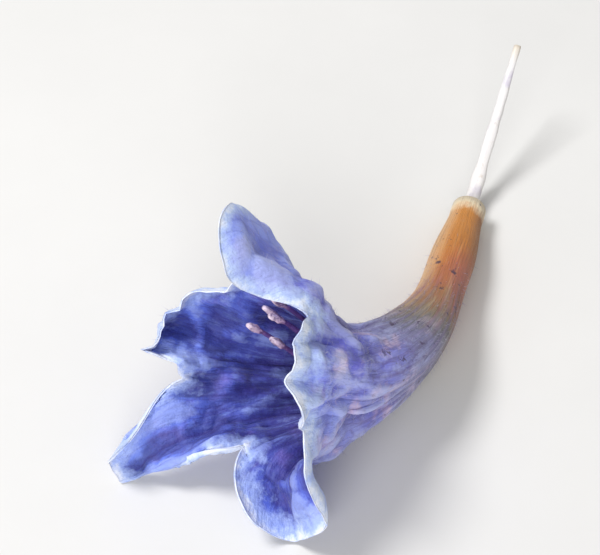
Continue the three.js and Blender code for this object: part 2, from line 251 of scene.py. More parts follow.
class Place:
    """Which lobe each angle belongs to: x runs from -1 to 1 across the lobe."""

    def __init__(self, angles):
        self.angles = np.asarray(angles)
        own, other, notch, x, offset = [], [], [], [], []
        for a in angles:
            for k, lobe in enumerate(LOBES):
                low, high = notch_before(k), lobe["notch"][0]
                turned = next((t for t in (a - 360, a, a + 360) if low <= t < high), None)
                if turned is None:
                    continue
                off = turned - lobe["angle"]
                before = off < 0
                own.append(k)
                other.append((k - 1 if before else k + 1) % len(LOBES))
                notch.append((LOBES[k - 1] if before else lobe)["notch"][1])
                x.append(off / (lobe["angle"] - low if before else high - lobe["angle"]))
                offset.append(off)
                break
        self.own, self.other = np.array(own), np.array(other)
        self.notch, self.x, self.offset = np.array(notch), np.array(x), np.array(offset)
        self.shared = 0.5 * smooth((LOBE_CORE, 1), np.abs(self.x))

    def lobe(self, name):
        """A value of the lobe that each angle belongs to, as a column."""
        return np.array([lobe[name] for lobe in LOBES], float)[self.own][:, None]

    def value(self, name):
        """The same, eased into the value of the next lobe at the notch."""
        table = np.array([lobe[name] for lobe in LOBES], float)
        return mix(table[self.own], table[self.other], self.shared)[:, None]


def noise_over(points, seed):
    flat = points.reshape(-1, 3) + np.array([seed * shift for shift in SEED_SHIFT])
    return np.array([noise.noise(p) for p in flat]).reshape(points.shape[:-1])


def ring_places(angles, s, across, along):
    """Places on a cylinder that is unrolled along the petal, in units of one wrinkle."""
    turn = np.radians(angles)[:, None] * np.ones_like(s)
    ring = WRINKLE_RING / across
    return np.stack([ring * np.cos(turn), ring * np.sin(turn), s / along], -1)


def margin_length(place):
    """Length of the petal to its margin, with small bites along it."""
    outline = (1 - np.abs(place.x) ** place.lobe("blunt")[:, 0]) ** LOBE_ROUNDNESS
    length = mix(place.notch, place.lobe("tip")[:, 0], outline)
    for number, (size, depth) in enumerate(NIBBLES):
        round_it = ring_places(place.angles, np.zeros((len(place.angles), 1)), size, 1)
        bite = noise_over(round_it, NIBBLE_SEED + number)
        length = length - depth * np.clip(NIBBLE_START + bite[:, 0], 0, 1)
    return length


def slope_angle(place, s, inward):
    """Angle between the petal's run and the axis, for lengths s of shape (angles, lengths)."""
    widening = FUNNEL_SLOPE * smooth(FUNNEL_TURN, s) * (1 - FUNNEL_EASE * smooth(EASE_TURN, s))
    funnel = np.degrees(np.arcsin(TUBE_SLOPE + widening))
    x = place.x[:, None]
    twist = place.lobe("twist") * np.sin(x * math.pi) * (1 - x * x)
    flare = place.value("flare") + twist
    bent = place.value("curl") * smooth((CURL_START, place.value("tip")), s)
    bent = bent + place.value("roll") * smooth((ROLL_REACH, 0), inward)
    for angle, around, grows, turn in BENDS:
        away = turn_from(angle, place.angles[:, None])
        bent = bent + turn * hill(away, around) * smooth(grows, s)
    return np.radians(mix(funnel, flare, smooth(FLARE_TURN, s)) + bent)


def crease(phase):
    return np.arcsin(CREASE_SHARPNESS * np.sin(phase)) / math.asin(CREASE_SHARPNESS)


def free_share(place, s):
    return smooth((FREE_START, place.value("tip") - FREE_FULL), s)


def main_relief(place, s, radius):
    """Height of the petal over its plain form: pleats, dents, crumples, folds and ruffles."""
    x, a = place.x[:, None], place.angles[:, None]
    pleated, doubled = smooth(PLEAT_TURN, s), smooth(SIDE_PLEAT_TURN, s)
    free = free_share(place, s)
    height = pleated * PLEAT * np.cos(math.pi * x) * (1 - PLEAT_EASE * free)
    height = height - doubled * SIDE_PLEAT * np.cos(3 * math.pi * x)
    height = height + pleated * FLATTENING * radius * np.cos(2 * np.radians(a - FLAT_ANGLE))
    for at, angle, along, around, depth in DENTS:
        away = turn_from(angle, a)
        height = height + depth * np.exp(-(((s - at) / along) ** 2) - (away / around) ** 2)
    for around, along, start, size in CRUMPLES:
        phase = around * np.radians(a) + along * s + start
        height = height + size * smooth(CRUMPLE_TURN, s) * crease(phase)
    fold = place.value("fold") * (np.hypot(x, FOLD_SOFTNESS) - FOLD_MEAN)
    height = height + fold * free
    wave = np.sin(place.lobe("waves") * math.pi * x + place.lobe("angle"))
    return height + place.lobe("ruffle") * free * free * (1 - x ** 4) * wave


def facets(places):
    """Share from 0 at the creases between crumpled facets to 1 inside them."""
    found = [noise.voronoi(p)[0] for p in places.reshape(-1, 3)]
    gap = np.array([near[1] - near[0] for near in found]).reshape(places.shape[:-1])
    return np.clip(FACET_EDGE * gap, 0, 1)


def fine_relief(place, s, inward):
    """Wrinkles, crumpled facets and long folds of the dried petal, and its margin's frill."""
    angles, height = place.angles, np.zeros_like(s)
    for number, (across, along, size, begin) in enumerate(WRINKLES):
        wave = noise_over(ring_places(angles, s, across, along), WRINKLE_SEED + number)
        ridge = 1 - WRINKLE_SHARPNESS * np.abs(wave)
        height = height + size * ridge * smooth(begin, s)
    facet = facets(ring_places(angles, s, FACET_ACROSS, FACET_ALONG))
    height = height + FACET_HEIGHT * (facet - FACET_MEAN) * smooth(FACET_BEGIN, s)
    height = height * mix(1, place.value("crumple"), free_share(place, s))
    for angle, around, grows, size in LONG_FOLDS:
        away = turn_from(angle, angles[:, None])
        height = height + size * hill(away, around) * smooth(grows, s)
    height = height * mix(MARGIN_CALM, 1, smooth((0, CALM_REACH), inward))
    frill = noise_over(ring_places(angles, s, FRILL_SIZE, FRILL_ALONG), FRILL_SEED)
    edge = hill(inward, FRILL_DEPTH) * smooth(FRILL_BEGIN, s)
    return height + 2 * place.value("frill") * frill * edge


def vein_mask(place, s, radius, inward):
    """Lines that run along the lobes: midrib and side veins, thinner towards the margin."""
    low = np.array([notch_before(k) for k in range(len(LOBES))])
    high = np.array([lobe["notch"][0] for lobe in LOBES])
    middle = np.array([lobe["angle"] for lobe in LOBES])
    half = np.where(place.x < 0, (middle - low)[place.own], (high - middle)[place.own])
    width = np.radians(half)[:, None] * radius
    x = place.x[:, None]
    spread = 1 + VEIN_SPREAD * smooth(SPREAD_TURN, s)
    mask = np.zeros_like(s)
    for across in VEINS_ACROSS:
        line = hill((x - across * spread) * width, VEIN_WIDTH)
        mask = np.maximum(mask, line if across == 0 else SIDE_VEIN * line)
    return mask * smooth(VEIN_BEGIN, s) * smooth(VEIN_FADE, inward)


def petal_rows(margins):
    """Lengths of the mesh rows for every column, base end to margin."""
    tube = TUBE_END * np.linspace(0, 1, TUBE_ROWS) ** TUBE_CROWDING
    lobe = np.linspace(0, 1, LOBE_ROWS + 1)[1:]
    rest = TUBE_END + (margins[:, None] - TUBE_END) * lobe
    return np.hstack([np.tile(tube, (len(margins), 1)), rest])


def column_angles():
    """Angles of the mesh columns, closer together at the notches."""
    angles = []
    for k, lobe in enumerate(LOBES):
        even = 2 * np.arange(LOBE_COLUMNS) / LOBE_COLUMNS - 1
        x = mix(even, np.sin(even * math.pi / 2), NOTCH_CROWDING)
        half = np.where(x < 0, lobe["angle"] - notch_before(k), lobe["notch"][0] - lobe["angle"])
        angles.extend(lobe["angle"] + x * half)
    return np.array(angles)


def margin_distance(points):
    """Distance of every point from the nearest point of the margin."""
    margin = points[:, -1]
    nearest = np.full(points.shape[:2], np.inf)
    for offset in range(-MARGIN_SEARCH, MARGIN_SEARCH + 1):
        there = np.roll(margin, offset, axis=0)[:, None]
        nearest = np.minimum(nearest, np.linalg.norm(points - there, axis=-1))
    return nearest


def outward(points):
    """Unit normals of the middle surface, towards the outer side."""
    along = np.gradient(points, axis=1)
    around = np.roll(points, -1, axis=0) - np.roll(points, 1, axis=0)
    return unit(np.cross(around, along))


def petal_surface():
    """Middle surface of the petal with the values that its finish needs."""
    angles = column_angles()
    place = Place(angles)
    margins = margin_length(place)
    s = petal_rows(margins)
    walk = np.arange(0, s.max() + 2 * AXIS_STEP, AXIS_STEP / 2)
    middle = (walk[:-1] + walk[1:]) / 2
    slopes = slope_angle(place, middle[None, :], margins[:, None] - middle[None, :])
    step = walk[1] - walk[0]
    start = np.zeros((len(angles), 1))
    radii = np.hstack([start, np.cumsum(np.sin(slopes) * step, axis=1)]) + BASE_RADIUS
    alongs = np.hstack([start, np.cumsum(np.cos(slopes) * step, axis=1)])
    radius = np.array([np.interp(row, walk, r) for row, r in zip(s, radii)])
    along = np.array([np.interp(row, walk, r) for row, r in zip(s, alongs)])
    inward = margins[:, None] - s
    slope = slope_angle(place, s, inward)
    fine = fine_relief(place, s, inward)
    veins = vein_mask(place, s, radius, inward)
    height = main_relief(place, s, radius) + fine + VEIN_HEIGHT * veins
    height = height + COLLAR * smooth(COLLAR_TURN, s)
    narrow = place.lobe("narrow")
    tips = place.lobe("tip") + NARROW_PAST
    narrowing = narrow * smooth((place.notch[:, None], tips), s)
    turned = np.radians(angles[:, None] - place.offset[:, None] * narrowing)
    forward = heading(np.minimum(along, THROAT))

    def raised(out, back, aside):
        reach = radius + out
        turn = turned - aside / reach
        level = beside_axis(along, reach * np.cos(turn), reach * np.sin(turn))
        return level - forward * back[..., None]

    out, back = height * np.cos(slope), height * np.sin(slope)
    edge = margin_distance(raised(out, back, 0))
    begun = smooth(LIFT_BEGIN, s)
    lift = place.value("lift") * hill(edge, LIFT_REACH) * begun
    plain = slope_angle(place, s, np.full_like(s, ROLL_REACH))
    side = (np.sign(place.x) * smooth(GATHER_SIDE, np.abs(place.x)))[:, None]
    beyond = smooth((0, NOTCH_EASE), s - place.notch[:, None])
    gather = place.lobe("gather") * np.clip(1 - edge / GATHER_REACH, 0, 1) ** 2 * beyond
    points = raised(out - lift * np.cos(plain), back - lift * np.sin(plain), gather * side)
    values = {
        "length": s,
        "inward": inward,
        "pale": 1 - edge / place.value("pale"),
        # How light each lobe's inner face is painted: painted light and shade
        "painted_lobe_light": place.value("painted_lobe_light") * np.ones_like(s),
        "vein": veins,
        "crest": fine,
    }
    streak = ring_places(angles, s, WRINKLE_RING, STREAK_REACH)
    return points, values, streak


def settle(points, half):
    """Lets the feet of the middle surface down onto the floor, and keeps the rest above it."""
    low = half + FLOOR_GAP
    for x, y in FEET:
        away = np.hypot(points[..., 0] - x, points[..., 1] - y)
        near = away < FOOT_REACH
        drop = (points[..., 2] - low)[near].min()
        points[..., 2] -= max(drop, 0) * hill(away, FOOT_REACH)
    over = points[..., 2] - low
    eased = FLOOR_EASE * np.exp(over / FLOOR_EASE - 1)
    points[..., 2] = low + np.where(over > FLOOR_EASE, over, eased)
    return points


def put(name, data):
    """A new object in the scene."""
    thing = bpy.data.objects.new(name, data)
    bpy.context.scene.collection.objects.link(thing)
    return thing


def made_piece(name, points, faces, finishes, node, face_finish=None):
    """A mesh piece in metres that rides on the flower's one body."""
    mesh = bpy.data.meshes.new(name)
    mesh.from_pydata((np.asarray(points) * MM).tolist(), [], [list(map(int, f)) for f in faces])
    for finish in finishes:
        mesh.materials.append(finish)
    mesh.polygons.foreach_set("use_smooth", [True] * len(mesh.polygons))
    if face_finish is not None:
        mesh.polygons.foreach_set("material_index", face_finish)
    mesh.validate()
    mesh.update()
    piece = put(name, mesh)
    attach(piece, BODY)
    if node:
        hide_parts(node)
    return piece


def add_values(piece, values, kind="FLOAT", field="value"):
    """Values at the mesh points, which the finishes read by name."""
    for name, value in values.items():
        made = piece.data.attributes.new(name, kind, "POINT")
        made.data.foreach_set(field, np.asarray(value, np.float32).ravel())


def corolla_piece(inside, outside):
    """Thin closed wall: outer face, base ring, inner face and margin."""
    points, values, streak = petal_surface()
    columns, rows = points.shape[:2]
    half = np.interp(values["length"], WALL_LENGTHS, WALL_HALVES)
    half = mix(RIM_HALF, half, smooth((0, RIM_TAPER), values["inward"]))
    points = settle(points, half)
    normals = outward(points)
    shift = normals * half[..., None]
    both = np.concatenate([(points + shift).reshape(-1, 3), (points - shift).reshape(-1, 3)])
    inner = columns * rows
    index = np.arange(inner).reshape(columns, rows)
    ahead = np.roll(index, -1, axis=0)
    a, b = index[:, :-1].ravel(), ahead[:, :-1].ravel()
    c, d = ahead[:, 1:].ravel(), index[:, 1:].ravel()
    outer_faces = np.stack([a, b, c, d], -1)
    inner_faces = np.stack([a, d, c, b], -1) + inner
    first, last = index[:, 0], index[:, -1]
    base = np.stack([ahead[:, 0], first, first + inner, ahead[:, 0] + inner], -1)
    rim = np.stack([ahead[:, -1], last, last + inner, ahead[:, -1] + inner], -1)
    faces = np.concatenate([outer_faces, base, inner_faces, rim])
    finish = [0] * (len(outer_faces) + len(base)) + [1] * (len(inner_faces) + len(rim))
    piece = made_piece("corolla_petal", both, faces, [outside, inside], "corolla", finish)
    values["pale"] = np.clip(values["pale"], -1, 1)
    both_faces = {name: np.tile(v.ravel(), 2) for name, v in values.items()}
    both_faces["crest"][inner:] *= -1
    add_values(piece, both_faces)
    streaks = np.tile(streak.reshape(-1, 3), (2, 1))
    add_values(piece, {"streak": streaks}, "FLOAT_VECTOR", "vector")
    return points, normals, values, half


# Stamens: angle and length s at the tip
STAMENS = [(20, 21.0), (92, 20.5), (164, 21.3), (236, 20.7), (308, 21.6)]
STAMEN_ROOT, ROOT_RING, TIP_RING = 10, 0.75, 0.95
LEAN_UP, LEAN_ASIDE, LEAN_TURN = 1.5, 2.2, (14, 22)
FILAMENT_RADIUS = 0.11
ANTHER_LENGTH, ANTHER_RADIUS, ANTHER_ENDS = 1.0, 0.21, (0.02, 0.97)
ANTHER_GROOVE, GROOVE_SHARPNESS = 0.5, 8
ANTHER_LUMP_DEPTH, ANTHER_LUMPS = 0.5, 0.3
STAMEN_STEPS, STAMEN_SIDES = 60, 20

# Style: radii at the tube's end and the free end, and length outside the tube
STYLE_RADIUS, STYLE_THIN, STYLE_FREE = 0.38, 0.17, 9.9
STYLE_INNER, INNER_TURN = 0.3, (0, 3)
STYLE_BEND, STYLE_LIFT, STYLE_SWING = 2.2, 32, 4
STYLE_END, STYLE_STEP = 17, 0.25
STYLE_SIDES = 16
STYLE_RIDGES, STYLE_RIDGE_DEPTH = 5, 0.1
RIDGE_WANDER, WANDER_PACE = 0.4, 1.3
STYLE_LUMPS, LUMP_SPACING, LUMP_PLACE = 0.22, 0.7, 0.5


def thread(points, radii, sides, outline=None):
    """Closed thread along points. outline(turns, i) scales the radius around point i."""
    points = np.asarray(points)
    across = np.array([0, 0, 1.0])
    rings = []
    for i, point in enumerate(points):
        before, after = points[max(i - 1, 0)], points[min(i + 1, len(points) - 1)]
        run = unit(after - before)
        across = unit(across - run * across.dot(run))
        third = np.cross(run, across)
        turn = 2 * math.pi * np.arange(sides) / sides
        scale = radii[i] * (outline(turn, i) if outline else 1)
        offset = across * (scale * np.cos(turn))[:, None] + third * (scale * np.sin(turn))[:, None]
        rings.append(point + offset)
    verts = np.vstack(rings + [points[:1], points[-1:]])
    faces = []
    last, ends = (len(points) - 1) * sides, len(points) * sides
    for k in range(sides):
        after = (k + 1) % sides
        for i in range(0, last, sides):
            faces.append((i + k, i + after, i + sides + after, i + sides + k))
        faces.append((ends, after, k))
        faces.append((ends + 1, last + k, last + after))
    return verts, faces


def lean(s):
    """How far the bundle of stamens and style leans off the axis."""
    share = smooth(LEAN_TURN, s)
    return LEAN_UP * share, LEAN_ASIDE * share


def stamen_piece(number, angle, end, finish):
    """Thin filament with a grooved, lumpy anther of two cells."""
    s = np.linspace(STAMEN_ROOT, end, STAMEN_STEPS)
    ring = mix(ROOT_RING, TIP_RING, smooth((STAMEN_ROOT, THROAT), s))
    up, aside = lean(s)
    turn = math.radians(angle)
    points = beside_axis(s, up + ring * math.cos(turn), aside + ring * math.sin(turn))
    into = np.clip((s - (end - ANTHER_LENGTH)) / ANTHER_LENGTH, 0, 1)
    swell = np.sqrt(np.sin(math.pi * mix(*ANTHER_ENDS, into))) * (into > 0)
    radii = np.maximum(FILAMENT_RADIUS, ANTHER_RADIUS * swell)

    def two_cells(around, i):
        x, y, z = points[i] / ANTHER_LUMPS
        lumps = [noise.noise((x + np.cos(t), y + np.sin(t), z)) for t in around]
        groove = ANTHER_GROOVE * np.cos(around) ** GROOVE_SHARPNESS
        return 1 - swell[i] * (groove - ANTHER_LUMP_DEPTH * np.array(lumps))

    verts, faces = thread(points, radii, STAMEN_SIDES, two_cells)
    node = f"stamen_{number}"
    piece = made_piece(f"{node}_fine", verts, faces, [finish], node)
    anther = np.concatenate([np.repeat(into, STAMEN_SIDES), [0, 1]])
    add_values(piece, {"anther": anther})


def style_piece(finish):
    """Dry thread from its free end through the tube into the throat."""
    steps = round(STYLE_FREE / STYLE_STEP)
    far = (np.arange(steps) + 0.5) * STYLE_STEP
    bend = smooth((0, STYLE_BEND), far)
    turned = BASE_HEADING + 180 - STYLE_SWING * bend
    runs = direction(turned, mix(-BASE_RISE, STYLE_LIFT, bend))
    free = AXIS[0] + np.cumsum(runs * STYLE_STEP, axis=0)
    inside = np.linspace(0, STYLE_END, round(STYLE_END / STYLE_STEP))
    up, aside = lean(inside)
    points = np.vstack([free[::-1], beside_axis(inside, up, aside)])
    radii = np.concatenate([
        np.linspace(STYLE_THIN, STYLE_RADIUS, steps),
        mix(STYLE_RADIUS, STYLE_INNER, smooth(INNER_TURN, inside)),
    ])
    length = np.concatenate([-far[::-1], inside])
    lumps = [noise.noise((s / LUMP_SPACING, LUMP_PLACE, LUMP_PLACE)) for s in length]
    radii = radii * [1 + STYLE_LUMPS * lump for lump in lumps]

    def ridged(around, i):
        drift = RIDGE_WANDER * math.sin(WANDER_PACE * length[i])
        return 1 + STYLE_RIDGE_DEPTH * np.sin(STYLE_RIDGES * around + drift)

    verts, faces = thread(points, radii, STYLE_SIDES, ridged)
    piece = made_piece("style_thread", verts, faces, [finish], "style")
    ends = [length[0], length[-1]]
    add_values(piece, {"length": np.concatenate([np.repeat(length, STYLE_SIDES), ends])})


# Hairs of the outer face
HAIR_COUNT = 1500
HAIR_SEED = 11
HAIR_LENGTH = (0.2, 0.55)
HAIR_RADIUS = 0.009
HAIR_LEAN = (0.4, 1.2)
HAIR_SWAY = 0.22
HAIR_SINK = 0.7  # share of the wall's half thickness at which a hair is rooted
HAIRLESS_MARGIN = 0.3
HAIR_STARTS, HAIR_THINS, HAIR_THIN_SHARE = (3, 9), (18, 23), 0.2


def hair_roots(points, values):
    """Places of the hairs among the mesh points, more of them where the petal is large."""
    draw = np.random.RandomState(HAIR_SEED)
    s = values["length"]
    around, along = np.gradient(points, axis=(0, 1))
    area = np.linalg.norm(np.cross(around, along), axis=-1)
    weight = area * smooth(HAIR_STARTS, s) * mix(1, HAIR_THIN_SHARE, smooth(HAIR_THINS, s))
    weight[values["inward"] < HAIRLESS_MARGIN] = 0
    chosen = draw.choice(weight.size, HAIR_COUNT, p=weight.ravel() / weight.sum())
    return draw, chosen


def hair_piece(points, normals, values, half, finish):
    """Short stiff hairs that lean towards the lobes, each a closed three-sided spike."""
    draw, chosen = hair_roots(points, values)
    along = unit(np.gradient(points, axis=1)).reshape(-1, 3)[chosen]
    out = normals.reshape(-1, 3)[chosen]
    root = points.reshape(-1, 3)[chosen] + out * (half.ravel()[chosen] * HAIR_SINK)[:, None]
    root[:, 2] = np.maximum(root[:, 2], FLOOR_GAP)
    length = draw.uniform(*HAIR_LENGTH, HAIR_COUNT)
    lean_by = draw.uniform(*HAIR_LEAN, HAIR_COUNT)
    sway = draw.normal(0, HAIR_SWAY, (HAIR_COUNT, 3))
    run = unit(out + along * lean_by[:, None] + sway)
    tip = root + run * length[:, None]
    tip[:, 2] = np.maximum(tip[:, 2], FLOOR_GAP)
    first = HAIR_RADIUS * unit(np.cross(run, along))
    second = np.cross(run, first)
    corners = []
    for k in range(3):
        turn = 2 * math.pi * k / 3
        corners.append(root + math.cos(turn) * first + math.sin(turn) * second)
    verts = np.stack(corners + [tip], axis=1).reshape(-1, 3)
    spike = [(0, 2, 1), (0, 1, 3), (1, 2, 3), (2, 0, 3)]
    faces = [tuple(4 * i + corner for corner in face) for i in range(HAIR_COUNT) for face in spike]
    made_piece("petal_hairs", verts, faces, [finish], None)


# Shader nodes. Each is made in the tree that its first socket lies in.
CLOUD_SPREAD = (0.3, 0.7)  # nearly all of a cloud lies between these
MIX_LOW, MIX_HIGH, MIX_COLOUR = 6, 7, 2  # sockets of a Mix node for colours


def feed(socket, value):
    """Links a socket, or sets it to a number, a vector or a colour."""
    if isinstance(value, bpy.types.NodeSocket):
        socket.id_data.links.new(value, socket)
    elif socket.type == "RGBA":
        socket.default_value = (*value, 1)
    else:
        socket.default_value = value


def new_node(kind, values, output=0, tree=None, **settings):
    """The output of a new node with these settings and input values."""
    tree = tree or next(iter(values.values())).id_data
    node = tree.nodes.new("ShaderNode" + kind)
    for name, setting in settings.items():
        setattr(node, name, setting)
    for label, value in values.items():
        feed(node.inputs[label], value)
    return node.outputs[output]


def ramp(share, stops):
    """Colour along a share from 0 to 1, given by stops of place and colour."""
    node = share.id_data.nodes.new("ShaderNodeValToRGB")
    feed(node.inputs["Fac"], share)
    slots = node.color_ramp.elements
    while len(slots) < len(stops):
        slots.new(0.5)
    for slot, (place, colour) in zip(slots, stops):
        slot.position = place
        slot.color = (*tone(*colour), 1)
    return node.outputs["Color"]


def blend(share, low, high):
    """Colour low where the share is 0, and high where it is 1."""
    colours = {0: share, MIX_LOW: low, MIX_HIGH: high}
    return new_node("Mix", colours, MIX_COLOUR, data_type="RGBA")


def times(first, second):
    return new_node("Math", {0: first, 1: second}, operation="MULTIPLY")


def plus(first, second):
    return new_node("Math", {0: first, 1: second}, operation="ADD")


def span(value, turn, ends=(0.0, 1.0)):
    """A value within the turn, moved to lie between the ends."""
    labels = ("Value", "From Min", "From Max", "To Min", "To Max")
    return new_node("MapRange", dict(zip(labels, (value, *turn, *ends))), "Result")


def cloud(place, scale, detail=3.0, rough=0.55):
    values = {"Vector": place, "Scale": scale, "Detail": detail, "Roughness": rough}
    return new_node("TexNoise", values, "Fac")


def wander(clouded, reach):
    """A cloud turned into a shift of up to reach either way."""
    return span(clouded, CLOUD_SPREAD, (-reach, reach))


def socket_kind(label):
    if label.endswith("Color"):
        return "NodeSocketColor"
    return "NodeSocketVector" if label.endswith(("Place", "Streak")) else "NodeSocketFloat"


def effect(output, *labels):
    """Turns a function of named inputs into a shader node group that the finishes share."""
    def group(build):
        tree = bpy.data.node_groups.new(build.__name__, "ShaderNodeTree")
        for label in labels:
            tree.interface.new_socket(label, in_out="INPUT", socket_type=socket_kind(label))
        tree.interface.new_socket(output, in_out="OUTPUT", socket_type=socket_kind(output))
        entry = tree.nodes.new("NodeGroupInput").outputs
        leave = tree.nodes.new("NodeGroupOutput").inputs[output]
        feed(leave, build(entry))
        return tree
    return group


# A cloud is given by its scale, detail and roughness.
# Speckle and heights of the painted highlight on crests and the painted shade in hollows
HIGHLIGHT_CLOUD, HIGHLIGHT_WANDER = (2600, 4, 0.7), 0.06
HIGHLIGHT_HEIGHTS, SHADE_HEIGHTS = (0.03, 0.16), (-0.02, -0.18)  # mm over the plain petal
MARGIN_CLOUD, MARGIN_WANDER = (900, 5, 0.7), 0.38
BAND_REACH, RIM_REACH = (0.25, 0.8), (0.74, 1.08)  # 0 at the band's inner edge, 1 at the rim
NET_SCALE, NET_LINE = 13, (0.09, 0.0)
SPOT_DETAIL = (4, 0.62)
GRAIN_DETAIL, PLEAT_DETAIL, LUMP_SIZE = (3, 0.6), (4, 0.6), 3


@effect("Color", "Color", "Crest", "Place", "Crest Highlight Color", "Crest Highlight Share", "Shade Color", "Shade")
def crest_highlight_and_hollow_shade(entry):
    """Pale painted highlight on the crests of the wrinkles, and painted shade in their hollows."""
    speckle = cloud(entry["Place"], *HIGHLIGHT_CLOUD)
    rough_crest = plus(entry["Crest"], wander(speckle, HIGHLIGHT_WANDER))
    crest_light = times(span(rough_crest, HIGHLIGHT_HEIGHTS), entry["Crest Highlight Share"])
    shade = times(span(rough_crest, SHADE_HEIGHTS), entry["Shade"])
    shaded = blend(shade, entry["Color"], entry["Shade Color"])
    return blend(crest_light, shaded, entry["Crest Highlight Color"])


@effect("Color", "Color", "Pale", "Place", "Band Color", "Rim Highlight Color", "Band")
def pale_margin(entry):
    """Bleached band along the margin with a ragged inner edge, partly painted light, and a
    painted highlight at the rim, where it is palest.
    """
    ragged = wander(cloud(entry["Place"], *MARGIN_CLOUD), MARGIN_WANDER)
    reach = plus(entry["Pale"], ragged)
    band = times(span(reach, BAND_REACH), entry["Band"])
    banded = blend(band, entry["Color"], entry["Band Color"])
    rim = times(span(reach, RIM_REACH), entry["Band"])
    return blend(rim, banded, entry["Rim Highlight Color"])


@effect("Color", "Color", "Vein", "Streak", "Line Color", "Veins", "Net")
def vein_lines(entry):
    """Long veins and the fine net of the petal's cells between them."""
    cells = {"Vector": entry["Streak"], "Scale": NET_SCALE}
    edge = new_node("TexVoronoi", cells, "Distance", feature="DISTANCE_TO_EDGE")
    net = times(span(edge, NET_LINE), entry["Net"])
    netted = blend(net, entry["Color"], entry["Line Color"])
    return blend(times(entry["Vein"], entry["Veins"]), netted, entry["Line Color"])


@effect("Color", "Color", "Place", "Scale", "Start", "Full", "Spot Color", "Spots")
def mottling(entry):
    """Spots of a second colour, scattered over the first."""
    spots = cloud(entry["Place"], entry["Scale"], *SPOT_DETAIL)
    cover = span(spots, (entry["Start"], entry["Full"]))
    return blend(times(cover, entry["Spots"]), entry["Color"], entry["Spot Color"])


@effect("Height", "Place", "Scale", "Lumps", "Pleat Place", "Pleat Scale", "Pleats")
def dry_grain(entry):
    """Height of the dry surface: fine cells, soft lumps at a third of their scale, and pleats."""
    cells = cloud(entry["Place"], entry["Scale"], *GRAIN_DETAIL)
    lump_scale = new_node("Math", {0: entry["Scale"], 1: LUMP_SIZE}, operation="DIVIDE")
    lumps = cloud(entry["Place"], lump_scale, *GRAIN_DETAIL)
    pleats = cloud(entry["Pleat Place"], entry["Pleat Scale"], *PLEAT_DETAIL)
    raised, folded = times(lumps, entry["Lumps"]), times(pleats, entry["Pleats"])
    return plus(cells, plus(raised, folded))


# Finishes. Colours are linear.
def tone(red, green, blue):
    """A colour in the 0 to 255 steps of a screen, as the shaders need it."""
    steps = np.array([red, green, blue]) / 255
    dark, bright = steps / 12.92, ((steps + 0.055) / 1.055) ** 2.4
    return tuple(np.where(steps <= 0.04045, dark, bright).tolist())


class Finish:
    """A material with its shader, and the coats of colour and grain that are laid on it."""

    def __init__(self, name, roughness, specular, sheen=0.0):
        self.made = bpy.data.materials.new(name)
        self.made.use_nodes = True
        self.tree = self.made.node_tree
        self.shader = self.tree.nodes["Principled BSDF"]
        look = {"Roughness": roughness, "Specular IOR Level": specular, "Sheen Weight": sheen}
        for label, value in look.items():
            feed(self.shader.inputs[label], value)
        self.place = new_node("TexCoord", {}, "Object", self.tree)

    def value(self, name, output="Fac"):
        """A value that the mesh holds at its points."""
        return new_node("Attribute", {}, output, self.tree, attribute_name=name)

    def coat(self, group, values):
        """An effect with those of the values that it has an input for."""
        labels = [item.name for item in group.interface.items_tree if item.in_out == "INPUT"]
        known = {label: values[label] for label in labels if label in values}
        return new_node("Group", known, 0, self.tree, node_tree=group)

    def spotted(self, under, spots, share):
        """Spots of a second colour over the colour under them."""
        scale, (start, full), colour = spots
        return self.coat(mottling, {
            "Color": under, "Place": self.place, "Scale": scale, "Start": start, "Full": full,
            "Spot Color": tone(*colour), "Spots": share,
        })

    def colour(self, colour):
        """Lays the last coat on the shader."""
        feed(self.shader.inputs["Base Color"], colour)

    def grain(self, strength, depth, values):
        """Bumps of the dry surface; depth is in mm."""
        places = {"Place": self.place, "Pleat Place": self.place}
        height = self.coat(dry_grain, {**places, **values})
        bump = {"Height": height, "Strength": strength, "Distance": depth * MM}
        feed(self.shader.inputs["Normal"], new_node("Bump", bump, "Normal"))


# Finish of the petal. Each span gives the values between which something comes or goes, and
# where there are two, its shares at both. Lengths are in mm from the base end of the tube.
DEEP_SPAN, LIGHT_SPAN = (10, 27), (16, 27)
INSIDE_CLOUD = (9, 5, 0.65)
INSIDE_BRIGHT, INSIDE_DARK = ((0.52, 0.72), (0, 0.75)), ((0.47, 0.3), (0, 0.75))
PETAL_GRAIN, PETAL_GRAIN_DEPTH, PETAL_LUMPS = 0.6, 0.06, 1.5

OUTSIDE_CLOUD, STREAK_WANDER = (8, 5, 0.65), 1.3
OUTSIDE_BRIGHT, OUTSIDE_DARK = ((0.54, 0.74), (0, 0.5)), ((0.45, 0.28), (0, 0.6))
OUTSIDE_SPAN, PETAL_BEGINS, TUBE_ENDS = (0, 27), (10, 13.5), (11.5, 9.5)
# From -1 on the flank at 270 degrees to 1 on the flank at 90 degrees
FLANK_SLANT = ((-1, 1), (0.5, -1.6))
SUNNY_FLANK, SHADY_FLANK = ((0.2, 0.95), (0, 0.75)), ((-0.4, -1.0), (0, 0.6))
COLLAR_CLOUD, COLLAR_WANDER, COLLAR_ENDS = (1500, 3, 0.6), 0.3, (1.25, 0.45)
BLUSH_COMES, BLUSH_GOES = ((3.5, 6), (0, 0.75)), (10.5, 8.5)
BLOTCHES_COME, SPECKS_COME = ((12, 16), (0, 0.65)), ((19, 15), (0.1, 0.85))
FRECKLES_COME, FRECKLES_GO = ((10, 14), (0, 0.7)), ((20, 23.5), (1, 0.3))
NET_COMES, HIGHLIGHT_COMES = ((9, 14), (0.05, 0.4)), ((9, 14), (0.06, 0.5))
SHADE_COMES = ((9, 14), (0.06, 0.55))
LINE_COLOUR_TURN, SHADE_COLOUR_TURN = (16, 21), (18, 22)

